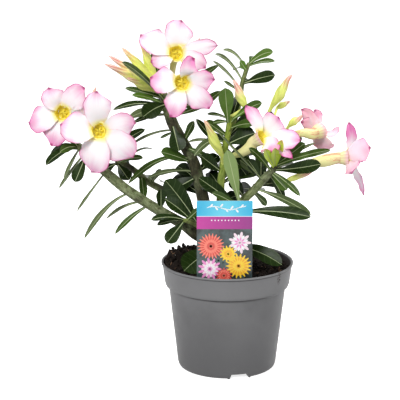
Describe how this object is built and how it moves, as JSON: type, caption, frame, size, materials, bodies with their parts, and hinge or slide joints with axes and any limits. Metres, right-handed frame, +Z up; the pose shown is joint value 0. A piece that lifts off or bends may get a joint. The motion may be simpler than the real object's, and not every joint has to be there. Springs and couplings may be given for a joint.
{
  "type": "potted desert rose",
  "caption": "Desert rose (adenium) with pink-edged white blooms, pointed buds and narrow leaves on bare branches, in a grey nursery pot with a plant label.",
  "frame": {"origin": "middle of the pot foot, on the ground", "axes": "+Z up along the pot axis, -Y towards the front, where the label stands, +X to the right seen from the front"},
  "size_m": [0.325, 0.1308, 0.3439],
  "materials": {
    "pot": "satin",
    "soil": "matte",
    "label": "gloss",
    "bark": "satin",
    "leaf": "satin",
    "petal": "satin",
    "tube": "satin",
    "bud": "satin"
  },
  "bodies": {
    "root": {"pot": "pot", "soil": "soil", "plant_label": "label", "caudex": "bark", "upright_branch": "leaf", "left_branch": "leaf", "middle_left_branch": "leaf", "centre_branch": "leaf", "top_right_branch": "leaf", "right_branch": "leaf", "low_left_shoot": "leaf", "low_right_shoot": "leaf", "base_left_leaf": "leaf", "base_right_leaf": "leaf", "bloom_left_front_petals": "petal", "bloom_left_back_petals": "petal", "bloom_top_petals": "petal", "bloom_top_front_petals": "petal", "bloom_middle_petals": "petal", "bloom_right_back_petals": "petal", "bloom_right_front_petals": "petal", "bloom_left_front_tube": "tube", "bloom_left_back_tube": "tube", "bloom_top_tube": "tube", "bloom_top_front_tube": "tube", "bloom_middle_tube": "tube", "bloom_right_back_tube": "tube", "bloom_right_front_tube": "tube", "top_bud_bunch": "bud", "bud_top_back": "bud", "bud_left_back": "bud", "bud_middle_front": "bud", "bud_middle_top": "bud", "bud_right_tall": "bud", "bud_right_short": "bud", "bud_right_green": "bud", "bud_right_low": "bud"}
  },
  "joints": []
}
